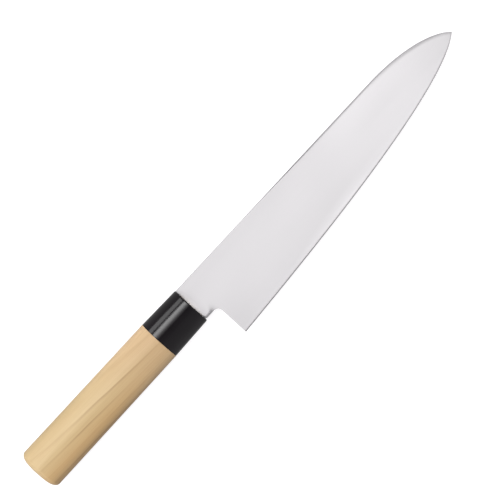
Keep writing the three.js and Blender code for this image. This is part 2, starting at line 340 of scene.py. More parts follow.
def handle_section(sizes, high, wide):
    """Points round the D section: two flanks with a soft ridge on the right, and an oval left side."""
    top = high / 2
    side = wide / 2
    corner = sizes.oval_fullness * side
    oval = sizes.oval_fullness * top
    shrink = high / sizes.butt_height
    ridge = Vector((sizes.ridge_rise * shrink, side))
    above = towards(ridge, sizes.ridge_round * shrink, -sizes.upper_flank)
    rising = math.pi + sizes.lower_flank
    below = towards(ridge, sizes.ridge_round * shrink, rising)
    reach = sizes.flank_fullness * top
    curves = [
        (Vector((top, 0)), Vector((top, corner)), towards(above, reach, -sizes.upper_flank), above),
        (above, above.lerp(ridge, RIDGE_PULL), below.lerp(ridge, RIDGE_PULL), below),
        (below, towards(below, reach, rising), Vector((-top, corner)), Vector((-top, 0))),
        (Vector((-top, 0)), Vector((-top, -corner)), Vector((-oval, -side)), Vector((0, -side))),
        (Vector((0, -side)), Vector((oval, -side)), Vector((top, -corner)), Vector((top, 0))),
    ]
    points = []
    for start, leave, arrive, end in curves:
        steps = RIDGE_STEPS if start is above else SECTION_STEPS
        points += interpolate_bezier(start, leave, arrive, end, steps + 1)[:-1]
    return points


def section_face(bm, sizes, along, high, wide):
    verts = [bm.verts.new((along, y, z)) for y, z in handle_section(sizes, high, wide)]
    return [bm.faces.new(verts)]


def ease_rim(bm, verts, ease, steps):
    rim = set(verts)
    bmesh.ops.bevel(
        bm,
        geom=[edge for edge in bm.edges if rim.issuperset(edge.verts)],
        offset=ease,
        affect="EDGES",
        segments=steps,
        profile=0.5,
        material=-1,
    )


def build_ferrule(sizes, material):
    """A tapered D-section collar with a through bore and an eased front rim."""
    bm = bmesh.new()
    length = sizes.ferrule_length
    rear = section_face(bm, sizes, -length, sizes.joint_height, sizes.joint_width)
    rear_rim = list(rear[0].verts)
    taper_high = sizes.mouth_height / sizes.joint_height
    taper_wide = sizes.mouth_width / sizes.joint_width
    front = drawn_out(bm, rear, length, taper_high, taper_wide, keep=True)
    front_rim = list(front[0].verts)
    bore_high = sizes.bore_height / sizes.joint_height
    bore_wide = sizes.bore_width / sizes.joint_width
    ends = drawn_out(bm, rear, 0.0, bore_high, bore_wide)
    ends += drawn_out(bm, front, 0.0, bore_high / taper_high, bore_wide / taper_wide)
    bore_rims = [edge for end in ends for edge in end.edges]
    bmesh.ops.delete(bm, geom=ends, context="FACES_ONLY")
    bmesh.ops.bridge_loops(bm, edges=bore_rims)
    ease_rim(bm, front_rim, sizes.ferrule_ease, RIM_STEPS)
    ease_rim(bm, rear_rim, sizes.joint_ease, RIM_STEPS)
    turn_outwards(bm)
    sharpen(bm, HANDLE_CREASE)
    return mesh_piece(bm, "ferrule_polished", "ferrule_resin", "ferrule", material)


def build_handle(sizes, material):
    """A tapered D-section grip with a rounded butt, and a slotted tenon for the ferrule and the tang."""
    bm = bmesh.new()
    shoulder = -sizes.ferrule_length - sizes.tenon_setback / 2
    butt = -sizes.ferrule_length - sizes.wood_length
    high, wide = sizes.joint_height, sizes.joint_width
    front = section_face(bm, sizes, shoulder, high, wide)
    shoulder_rim = list(front[0].verts)

    cap = front
    at = shoulder
    for step in range(BUTT_STEPS + 1):
        turn = math.pi / 2 * step / BUTT_STEPS
        place = butt + sizes.butt_round_depth * (1 - math.sin(turn))
        back = (-place - sizes.ferrule_length) / sizes.wood_length
        inset = 2 * sizes.butt_round_inset * (1 - math.cos(turn))
        new_high = lerp(sizes.joint_height, sizes.butt_height, back) - inset
        new_wide = lerp(sizes.joint_width, sizes.butt_width, back) - inset
        cap = drawn_out(bm, cap, place - at, new_high / high, new_wide / wide, keep=step == 0)
        high, wide, at = new_high, new_wide, place

    tenon_high = sizes.bore_height - 2 * sizes.tenon_gap
    tenon_wide = sizes.bore_width - 2 * sizes.tenon_gap
    chamfer = sizes.tenon_chamfer
    front = drawn_out(bm, front, 0.0, tenon_high / sizes.joint_height, tenon_wide / sizes.joint_width)
    front = drawn_out(bm, front, -sizes.tenon_setback - chamfer - shoulder, 1.0, 1.0)
    front = drawn_out(
        bm, front, chamfer, 1 - 2 * chamfer / tenon_high, 1 - 2 * chamfer / tenon_wide
    )
    slot = drawn_out(bm, front, 0.0, 1.0, 1.0)
    for vert in slot[0].verts:
        vert.co.y = min(max(vert.co.y, -sizes.mortise_height / 2), sizes.mortise_height / 2)
        vert.co.z = min(max(vert.co.z, -sizes.mortise_width / 2), sizes.mortise_width / 2)
    drawn_out(
        bm,
        slot,
        sizes.tenon_setback - sizes.mortise_depth,
        sizes.mortise_end_height / sizes.mortise_height,
        1.0,
    )
    ease_rim(bm, shoulder_rim, sizes.joint_ease, SHOULDER_STEPS)
    turn_outwards(bm)
    sharpen(bm, HANDLE_CREASE)
    return mesh_piece(bm, "handle_shaped", "ho_wood", "handle", material)


NECK_STEPS = 12
CORNER_STEPS = 7
FILLET_STEPS = 10
NECK_EASE_ROWS = 6
BLADE_STEPS = 120
BLADE_CROWDING = 1.5
LOW_ROWS = 12
HIGH_ROWS = 16
EASE_ROWS = 4
OUTLINE_STEPS = 300
LARGEST_EASE_SHARE = 0.9
EASE_ROUNDNESS = 0.25
LARGEST_BEVEL_SHARE = 0.25
RUNOUT_SHARE = 0.65
TANG_END_STEPS = 6
# Places in the blade's list of materials
HONED = 1
GROUND = 2
# Attribute with each point's distance below the spine, in metres
BELOW_SPINE = "below_spine"


def height_at(outline, x):
    """Height of an outline, a row of points that runs forwards, at a place along the knife."""
    after = next((i for i, p in enumerate(outline) if p.x >= x and i > 0), len(outline) - 1)
    start, end = outline[after - 1], outline[after]
    return lerp(start.y, end.y, (x - start.x) / (end.x - start.x))


def blade_outlines(sizes):
    """The spine's and the edge's lines, from the ferrule's mouth to the tip."""
    tip = Vector((sizes.neck_length + sizes.length, -sizes.tip_drop))
    mouth = Vector((0.0, sizes.spine_rise))
    bend = Vector((tip.x - sizes.point_length, sizes.spine_rise - sizes.spine_fall))
    along = (bend - mouth).normalized()
    heel = Vector((sizes.neck_length, -sizes.heel_depth))
    back = Vector((0.0, heel.y - heel.x * math.tan(sizes.edge_heel_angle)))
    spine = [mouth] + interpolate_bezier(
        bend,
        bend + along * sizes.point_start_reach,
        towards(tip, sizes.point_tip_reach, math.pi - sizes.point_tip_angle),
        tip,
        OUTLINE_STEPS,
    )
    edge = [back] + interpolate_bezier(
        heel,
        towards(heel, sizes.edge_heel_reach, sizes.edge_heel_angle),
        towards(tip, sizes.edge_tip_reach, math.pi + sizes.edge_tip_angle),
        tip,
        OUTLINE_STEPS,
    )
    return spine, edge


def neck_columns(sizes):
    """Places along the neck, and its lower side there: the rear corner, the neck and the fillet."""
    bottom = sizes.spine_rise - sizes.neck_height
    corner = sizes.neck_corner
    fillet = sizes.choil_radius
    columns = []
    for step in range(CORNER_STEPS):
        turn = math.pi / 2 * step / CORNER_STEPS
        columns.append((
            sizes.seat_gap + corner * (1 - math.cos(turn)),
            bottom + corner * (1 - math.sin(turn)),
        ))
    for step in range(NECK_STEPS):
        start = sizes.seat_gap + corner
        columns.append((lerp(start, sizes.neck_length - fillet, step / NECK_STEPS), bottom))
    for step in range(FILLET_STEPS):
        turn = math.pi / 2 * step / FILLET_STEPS
        columns.append((
            sizes.neck_length - fillet * (1 - math.sin(turn)),
            bottom - fillet * (1 - math.cos(turn)),
        ))
    return columns


def half_thickness(sizes, x, y, above_edge, height):
    """Half of the blade's thickness at a point of its side: taper, convex grind and run-out."""
    tip_x = sizes.neck_length + sizes.length
    neck_bottom = sizes.spine_rise - sizes.neck_height
    taper = lerp(sizes.spine_thickness, sizes.tip_thickness, x / tip_x) / 2
    full = min(taper, sizes.edge_shoulder / 2 + sizes.point_slope * height)
    bevel = min(sizes.edge_bevel, height * LARGEST_BEVEL_SHARE)
    climb = min(max((above_edge - bevel) / (height - bevel), 0.0), 1.0)
    thin = sizes.edge_shoulder / sizes.spine_thickness
    ground = lerp(thin, 1.0, 1 - (1 - climb) ** sizes.grind_power)
    beside = 1 - smoothstep(x, 0.0, sizes.neck_length + sizes.neck_runout)
    level = smoothstep(y, -sizes.heel_depth, neck_bottom + sizes.choil_radius)
    return full * lerp(ground, 1.0, RUNOUT_SHARE * beside * level)


def neck_row(sizes, x, bottom, top, row):
    """Height of one row of the neck, and how far the rounding along its lower side draws it in."""
    eased = 1 - smoothstep(x, sizes.neck_length - 2 * sizes.choil_radius, sizes.neck_ease_end)
    even = lerp(bottom, top, row / HIGH_ROWS)
    turn = math.pi / 2 * max(1 - row / NECK_EASE_ROWS, 0.0)
    if row <= NECK_EASE_ROWS:
        crowded = bottom + sizes.neck_ease * (1 - math.sin(turn))
    else:
        climb = (row - NECK_EASE_ROWS) / (HIGH_ROWS - NECK_EASE_ROWS)
        crowded = lerp(bottom + sizes.neck_ease, top, climb)
    return lerp(even, crowded, eased), eased * sizes.neck_ease_depth * (1 - math.cos(turn))


def blade_side(bm, sizes):
    """One side of the blade: a grid without the cells below the neck, moved to the blade's surface.

    Returns the lines that stay crisp: behind the edge bevel and below the spine's chamfer.
    """
    spine, edge = blade_outlines(sizes)
    neck = neck_columns(sizes)
    tip_x = sizes.neck_length + sizes.length - sizes.tip_blunt
    columns = [x for x, _ in neck]
    for step in range(BLADE_STEPS + 1):
        columns.append(lerp(sizes.neck_length, tip_x, 1 - (1 - step / BLADE_STEPS) ** BLADE_CROWDING))
    shoulder_row = 1
    choil_row = shoulder_row + LOW_ROWS
    ease_row = choil_row + HIGH_ROWS
    last_row = ease_row + EASE_ROWS
    heel_y = height_at(edge, sizes.neck_length)
    heel_top = height_at(spine, sizes.neck_length) - sizes.spine_ease
    choil_y = sizes.spine_rise - sizes.neck_height - sizes.choil_radius
    choil_share = (choil_y - heel_y - sizes.edge_bevel) / (heel_top - heel_y - sizes.edge_bevel)

    below_spine = bm.verts.layers.float.new(BELOW_SPINE)
    bmesh.ops.create_grid(bm, x_segments=len(columns) - 1, y_segments=last_row, size=1.0)
    # The grid spans -1 to 1 both ways, so that a point's place gives its column and its row
    cell = {
        vert: (
            round((vert.co.x + 1) / 2 * (len(columns) - 1)),
            round((vert.co.y + 1) / 2 * last_row),
        )
        for vert in bm.verts
    }
    notch = [
        face for face in bm.faces
        if min(cell[vert][0] for vert in face.verts) < len(neck)
        and min(cell[vert][1] for vert in face.verts) < choil_row
    ]
    bmesh.ops.delete(bm, geom=notch, context="FACES")
    for vert in bm.verts:
        column, row = cell[vert]
        x = columns[column]
        edge_y = height_at(edge, x)
        spine_y = height_at(spine, x)
        high = spine_y - edge_y
        bevel = min(sizes.edge_bevel, high * LARGEST_BEVEL_SHARE)
        widened = smoothstep(x, sizes.spine_ease_start, sizes.spine_ease_full)
        ease = min(lerp(sizes.spine_ease_neck, sizes.spine_ease, widened), high * LARGEST_BEVEL_SHARE)
        top = spine_y - ease
        if row == 0:
            vert.co = (x, edge_y, 0.0)
            continue
        hollow = 0.0
        if column < len(neck):
            y, hollow = neck_row(sizes, x, neck[column][1], top, row - choil_row)
        elif row <= choil_row:
            y = lerp(edge_y + bevel, top, choil_share * (row - shoulder_row) / LOW_ROWS)
        else:
            y = lerp(edge_y + bevel, top, lerp(choil_share, 1.0, (row - choil_row) / HIGH_ROWS))
        if row <= ease_row:
            vert.co = (x, y, half_thickness(sizes, x, y, y - edge_y, high) - hollow)
        else:
            part = (row - ease_row) / EASE_ROWS
            turn = math.pi / 2 * part
            cheek = half_thickness(sizes, x, top, top - edge_y, high)
            drawn_in = min(ease, cheek * LARGEST_EASE_SHARE)
            rise = ease * lerp(part, math.sin(turn), EASE_ROUNDNESS)
            inwards = drawn_in * lerp(part, 1 - math.cos(turn), EASE_ROUNDNESS)
            vert.co = (x, top + rise, cheek - inwards)
    for vert in bm.verts:
        vert[below_spine] = height_at(spine, vert.co.x) - vert.co.y
    shoulder = {
        vert for vert in bm.verts
        if cell[vert][1] == shoulder_row and cell[vert][0] >= len(neck)
    }
    crest = {vert for vert in bm.verts if cell[vert][1] == ease_row}
    for face in bm.faces:
        rows = [cell[vert][1] for vert in face.verts]
        if max(rows) == shoulder_row:
            face.material_index = HONED
        elif min(rows) >= ease_row:
            face.material_index = GROUND
    return [
        edge for edge in bm.edges
        if shoulder.issuperset(edge.verts) or crest.issuperset(edge.verts)
    ]


def draw_tang(bm, sizes):
    """The tang, drawn out of the neck's rear wall, with a rounded end."""
    wall = [
        face for face in bm.faces
        if max(vert.co.x for vert in face.verts) < sizes.seat_gap + WALL_TOLERANCE
        and max(abs(vert.co.y) for vert in face.verts) < sizes.tang_height / 2
    ]
    tops = [vert.co.y for face in wall for vert in face.verts]
    sides = [vert.co.z for face in wall for vert in face.verts]
    middle = (max(tops) + min(tops)) / 2
    wall_height = max(tops) - min(tops)
    root = drawn_out(
        bm, wall, 0.0, sizes.tang_height / wall_height, sizes.tang_thickness / 2 / max(sides)
    )
    root_verts = {vert for face in root for vert in face.verts}
    lift = -middle * sizes.tang_height / wall_height
    bmesh.ops.translate(bm, vec=(0.0, lift, 0.0), verts=list(root_verts))
    end = sizes.tang_end_height / 2
    at = sizes.seat_gap
    high = sizes.tang_height
    cap = root
    for step in range(TANG_END_STEPS):
        turn = math.pi / 2 * step / TANG_END_STEPS
        place = -sizes.tang_length + end * (1 - math.sin(turn))
        new_high = sizes.tang_end_height * math.cos(turn)
        cap = drawn_out(bm, cap, place - at, new_high / high, 1.0)
        at, high = place, new_high


def build_blade(sizes, satin, honed, ground):
    """Both sides of the blade, joined at the edge and across spine, neck and choil, and the tang."""
    bm = bmesh.new()
    crisp = blade_side(bm, sizes)
    side = list(bm.verts) + list(bm.edges) + list(bm.faces)
    rim = [
        edge for edge in bm.edges
        if edge.is_boundary and max(vert.co.z for vert in edge.verts) > EDGE_TOLERANCE
    ]
    for edge in crisp:
        edge.seam = True
    drawn = bmesh.ops.extrude_edge_only(bm, edges=rim)["geom"]
    for item in drawn:
        if isinstance(item, bmesh.types.BMVert):
            item.co.z = -item.co.z
    bmesh.ops.mirror(bm, geom=side, matrix=Matrix.Identity(4), merge_dist=EDGE_TOLERANCE, axis="Z")
    turn_outwards(bm)
    draw_tang(bm, sizes)
    turn_outwards(bm)
    sharpen(bm, BLADE_CREASE)
    for edge in bm.edges:
        if edge.seam:
            edge.smooth = False
            edge.seam = False
    return mesh_piece(bm, "blade_ground", "blade_steel", "blade", satin, honed, ground)


# Materials

# Settings that several nodes share
IN_TEXTURE_SPACE = {"vector_type": "TEXTURE"}
SMOOTHLY = {"interpolation_type": "SMOOTHSTEP"}
MIX_COLOURS = {"data_type": "RGBA"}
TINT_COLOURS = {"data_type": "RGBA", "blend_type": "MULTIPLY"}
# What nearly all of a noise lies between
NOISE_RANGE = {"From Min": 0.3, "From Max": 0.7}
# Numbers of a Mix node's sockets for colours, because other sockets of it have the same names
FROM = 6
TO = 7
MIXED = 2


def add(tree, kind, settings, inputs):
    """Adds a node. Each input, by name or number, is a value or the socket that feeds it."""
    node = tree.nodes.new(kind)
    for name, value in settings.items():
        setattr(node, name, value)
    for name, value in inputs.items():
        if isinstance(value, bpy.types.NodeSocket):
            tree.links.new(value, node.inputs[name])
        else:
            node.inputs[name].default_value = value
    return node


def new_material(name):
    material = bpy.data.materials.new(name)
    material.use_nodes = True
    tree = material.node_tree
    tree.nodes.clear()
    place = add(tree, "ShaderNodeTexCoord", {}, {}).outputs["Object"]
    return material, tree, place


def grain(along, across, lean=0.0, centre=(0.0, 0.0, 0.0)):
    """Mapping inputs for features of this length and width in millimetres, at a lean in degrees."""
    return {
        "Location": centre,
        "Rotation": (0.0, 0.0, math.radians(lean)),
        "Scale": (along * MM, across * MM, across * MM),
    }


def spot(ahead, above, half_length, half_height, lean=0.0):
    """Mapping inputs for one spot, at a place in millimetres from the ferrule's mouth."""
    return grain(half_length, half_height, lean, MOUTH + Vector((ahead, above, 0)) * MM)


def stretch(origin, start, end):
    """Map Range inputs from one place to another, both in millimetres from an origin."""
    return {"From Min": origin + start * MM, "From Max": origin + end * MM}


def darkened(tone, part):
    return [channel * part for channel in tone[:3]] + [1.0]


# Where the steel's painted shade and painted light come and go along the blade, in millimetres ahead of
# the ferrule's mouth
NECK_SHADE_FADES = (-20, 60)
POINT_LIGHT_RISES = (95, 155)
TIP_TONE_FALLS = (176, 202)
TIP_TONE_PART = 0.5
# Where the painted shade along the point's spine comes in, in millimetres below the spine
SPINE_SHADE_RISES = (3, 0.4)
# Spots of painted light and painted shade, in millimetres from the ferrule's mouth
EDGE_LIGHT_SPOT = {"ahead": 108, "above": -26.9, "half_length": 62, "half_height": 7, "lean": 5.2}
MOUTH_SPOT = {"ahead": 0, "above": 0.5, "half_length": 2.8, "half_height": 11}
SPINE_SHADE_SPOT = {"ahead": 196, "above": 7, "half_length": 40, "half_height": 40}
# How bright the darkest lines and scratches are, as a part of the steel's own tone
POLISHING_LINE_BRIGHTNESS = 0.96
SCRATCH_BRIGHTNESS = 0.92


def satin_steel(finishes):
    """Stainless steel, ground and then polished lengthwise: a soft even sheen with faint lines."""
    material, tree, place = new_material("stainless_steel_satin_polished")
    # Polishing lines are hundredths of a millimetre wide, and are drawn 0.6 mm wide so that they show
    lines_at = add(tree, "ShaderNodeMapping", IN_TEXTURE_SPACE, {"Vector": place, **grain(70, 0.6)})
    lines = add(tree, "ShaderNodeTexNoise", {}, {
        "Vector": lines_at.outputs["Vector"], "Scale": 1.0, "Detail": 2.0, "Roughness": 0.6,
    })
    # Hand pressure leaves patches of slightly finer polish, a few centimetres long
    patches_at = add(tree, "ShaderNodeMapping", IN_TEXTURE_SPACE, {"Vector": place, **grain(65, 24)})
    patches = add(tree, "ShaderNodeTexNoise", {}, {
        "Vector": patches_at.outputs["Vector"], "Scale": 1.0, "Detail": 1.0, "Roughness": 0.4,
    })
    lines_rough = add(tree, "ShaderNodeMapRange", {}, {
        "Value": lines.outputs["Fac"],
        "From Min": 0.25,
        "From Max": 0.75,
        "To Min": 0.42,
        "To Max": 0.48,
    })
    rough = add(tree, "ShaderNodeMapRange", {}, {
        "Value": patches.outputs["Fac"],
        **NOISE_RANGE,
        "To Min": 0.42,
        "To Max": lines_rough.outputs["Result"],
    })
    # Painted shade makes the steel darker beside the ferrule, and painted light makes it brightest
    # before the point
    ahead = add(tree, "ShaderNodeSeparateXYZ", {}, {"Vector": place}).outputs["X"]
    past_neck = add(tree, "ShaderNodeMapRange", SMOOTHLY, {
        "Value": ahead, **stretch(MOUTH.x, *NECK_SHADE_FADES),
    })
    line_tone = add(tree, "ShaderNodeMix", MIX_COLOURS, {
        "Factor": lines.outputs["Fac"],
        FROM: darkened(finishes.steel, POLISHING_LINE_BRIGHTNESS),
        TO: list(finishes.steel),
    })
    neck_shade_tone = add(tree, "ShaderNodeMix", MIX_COLOURS, {
        "Factor": past_neck.outputs["Result"],
        FROM: list(finishes.steel_neck_shade),
        TO: line_tone.outputs[MIXED],
    })
    before_point = add(tree, "ShaderNodeMapRange", SMOOTHLY, {
        "Value": ahead, **stretch(MOUTH.x, *POINT_LIGHT_RISES),
    })
    point_light_tone = add(tree, "ShaderNodeMix", MIX_COLOURS, {
        "Factor": before_point.outputs["Result"],
        FROM: neck_shade_tone.outputs[MIXED],
        TO: list(finishes.steel_point_light),
    })
    # Half of the painted light fades again near the tip
    near_tip = add(tree, "ShaderNodeMapRange", SMOOTHLY, {
        "Value": ahead, **stretch(MOUTH.x, *TIP_TONE_FALLS), "To Max": TIP_TONE_PART,
    })
    tip_tone = add(tree, "ShaderNodeMix", MIX_COLOURS, {
        "Factor": near_tip.outputs["Result"],
        FROM: point_light_tone.outputs[MIXED],
        TO: list(finishes.steel),
    })
    # Painted light: a band above the middle of the edge is made brighter, and leans as the edge does
    edge_light_at = add(tree, "ShaderNodeMapping", IN_TEXTURE_SPACE, {"Vector": place, **spot(**EDGE_LIGHT_SPOT)})
    above_edge = add(tree, "ShaderNodeTexGradient", {"gradient_type": "SPHERICAL"}, {
        "Vector": edge_light_at.outputs["Vector"],
    })
    edge_light_tone = add(tree, "ShaderNodeMix", MIX_COLOURS, {
        "Factor": above_edge.outputs["Fac"],
        FROM: tip_tone.outputs[MIXED],
        TO: list(finishes.steel_edge_light),
    })
    # The steel mirrors the black ferrule at the mouth, and a paler tone over 3 mm makes up for it
    mouth_at = add(tree, "ShaderNodeMapping", IN_TEXTURE_SPACE, {"Vector": place, **spot(**MOUTH_SPOT)})
    at_mouth = add(tree, "ShaderNodeTexGradient", {"gradient_type": "SPHERICAL"}, {
        "Vector": mouth_at.outputs["Vector"],
    })
    mouth_tone = add(tree, "ShaderNodeMix", MIX_COLOURS, {
        "Factor": at_mouth.outputs["Fac"],
        FROM: edge_light_tone.outputs[MIXED],
        TO: list(finishes.steel_mouth),
    })
    # Painted shade: where the spine curves down to the tip, the sides darken over the last 3 mm below it
    point_at = add(tree, "ShaderNodeMapping", IN_TEXTURE_SPACE, {"Vector": place, **spot(**SPINE_SHADE_SPOT)})
    at_point = add(tree, "ShaderNodeTexGradient", {"gradient_type": "SPHERICAL"}, {
        "Vector": point_at.outputs["Vector"],
    })
    below_spine = add(tree, "ShaderNodeAttribute", {"attribute_name": BELOW_SPINE}, {})
    spine_shade_share = add(tree, "ShaderNodeMapRange", SMOOTHLY, {
        "Value": below_spine.outputs["Fac"],
        **stretch(0.0, *SPINE_SHADE_RISES),
        "To Min": 0.0,
        "To Max": at_point.outputs["Fac"],
    })
    tone = add(tree, "ShaderNodeMix", MIX_COLOURS, {
        "Factor": spine_shade_share.outputs["Result"],
        FROM: mouth_tone.outputs[MIXED],
        TO: list(finishes.steel_spine_shade),
    })
    bump = add(tree, "ShaderNodeBump", {}, {
        "Strength": 0.3, "Distance": 0.003 * MM, "Height": lines.outputs["Fac"],
    })
    shader = add(tree, "ShaderNodeBsdfPrincipled", {}, {
        "Base Color": tone.outputs[MIXED],
        "Metallic": 1.0,
        "Roughness": rough.outputs["Result"],
        "Normal": bump.outputs["Normal"],
    })
    add(tree, "ShaderNodeOutputMaterial", {}, {"Surface": shader.outputs["BSDF"]})
    return material


def scratched_steel(name, tone, spacing, low, high):
    """Steel with marks across the blade, this many millimetres apart, between two roughnesses."""
    material, tree, place = new_material(name)
    marks_at = add(tree, "ShaderNodeMapping", IN_TEXTURE_SPACE, {"Vector": place, **grain(spacing, 4)})
    marks = add(tree, "ShaderNodeTexNoise", {}, {
        "Vector": marks_at.outputs["Vector"], "Scale": 1.0, "Detail": 2.0, "Roughness": 0.6,
    })
    marked = add(tree, "ShaderNodeMix", MIX_COLOURS, {
        "Factor": marks.outputs["Fac"],
        FROM: darkened(tone, SCRATCH_BRIGHTNESS),
        TO: list(tone),
    })
    rough = add(tree, "ShaderNodeMapRange", {}, {
        "Value": marks.outputs["Fac"], **NOISE_RANGE, "To Min": low, "To Max": high,
    })
    bump = add(tree, "ShaderNodeBump", {}, {
        "Strength": 0.15, "Distance": 0.002 * MM, "Height": marks.outputs["Fac"],
    })
    shader = add(tree, "ShaderNodeBsdfPrincipled", {}, {
        "Base Color": marked.outputs[MIXED],
        "Metallic": 1.0,
        "Roughness": rough.outputs["Result"],
        "Normal": bump.outputs["Normal"],
    })
    add(tree, "ShaderNodeOutputMaterial", {}, {"Surface": shader.outputs["BSDF"]})
    return material


def honed_steel(finishes):
    """Stainless steel, honed on stones across the edge: smoother and darker than the blade's sides."""
    return scratched_steel("stainless_steel_honed", finishes.steel_honed, 0.3, 0.36, 0.44)


def ground_steel(finishes):
    """Stainless steel, broken on a belt across the spine's corners: duller than the blade's sides."""
    return scratched_steel("stainless_steel_belt_ground", finishes.steel_ground, 0.5, 0.42, 0.5)


def black_resin(finishes):
    """Black cast resin, turned and buffed: deep black with clear reflections and faint grey clouds."""
    material, tree, place = new_material("black_resin_buffed")
    # Buffing marks run along the handle; they are drawn 0.4 mm wide so that they show
    marks_at = add(tree, "ShaderNodeMapping", IN_TEXTURE_SPACE, {"Vector": place, **grain(14, 0.4)})
    marks = add(tree, "ShaderNodeTexNoise", {}, {
        "Vector": marks_at.outputs["Vector"], "Scale": 1.0, "Detail": 3.0, "Roughness": 0.6,
    })
    clouds_at = add(tree, "ShaderNodeMapping", IN_TEXTURE_SPACE, {"Vector": place, **grain(9, 7)})
    clouds = add(tree, "ShaderNodeTexNoise", {}, {
        "Vector": clouds_at.outputs["Vector"], "Scale": 1.0, "Detail": 2.0, "Roughness": 0.5,
    })
    tone = add(tree, "ShaderNodeMix", MIX_COLOURS, {
        "Factor": clouds.outputs["Fac"], FROM: list(finishes.resin), TO: list(finishes.resin_worn),
    })
    rough = add(tree, "ShaderNodeMapRange", {}, {
        "Value": marks.outputs["Fac"], **NOISE_RANGE, "To Min": 0.11, "To Max": 0.15,
    })
    bump = add(tree, "ShaderNodeBump", {}, {
        "Strength": 0.2, "Distance": 0.004 * MM, "Height": marks.outputs["Fac"],
    })
    shader = add(tree, "ShaderNodeBsdfPrincipled", {}, {
        "Base Color": tone.outputs[MIXED],
        "Roughness": rough.outputs["Result"],
        "IOR": 1.48,
        "Normal": bump.outputs["Normal"],
    })
    add(tree, "ShaderNodeOutputMaterial", {}, {"Surface": shader.outputs["BSDF"]})
    return material


# A year's growth and the length of its waves in millimetres, and how far the heart leans in degrees
YEAR_THICKNESS = 4.37
YEAR_WAVE_LENGTH = 40
HEART_LEAN = -4.3
# A wave texture repeats this often in one unit
WAVES_IN_A_UNIT = 20 / (2 * math.pi)
# Parts of a year's growth after which its line starts and is darkest
LINE_STARTS = 0.72
LINE_PEAKS = 0.92
# Where the noise that the growth lines come and go by has its origin, in millimetres
LINES_NOISE_ORIGIN = Vector((118, -67, 176))
# Where the wood's tones and its painted shade come and go, in millimetres ahead of the ferrule's mouth
LINES_RISE_FROM_BUTT = (-155, -90)
LINES_RISE_FROM_FRONT = (-22, -52)
SAP_TONE_RISES = (-100, -48)
FRONT_TONE_RISES = (-85, -25)
LOWER_EDGE_SHADE_RISES = (-15, -85)
# The same in millimetres above the handle's axis
SAP_TONE_CLIMBS = (5.5, 13.5)
LOWER_HALF_SHADE_CLIMBS = (3, -14)
LOWER_EDGE_SHADE_CLIMBS = (-7, -14)


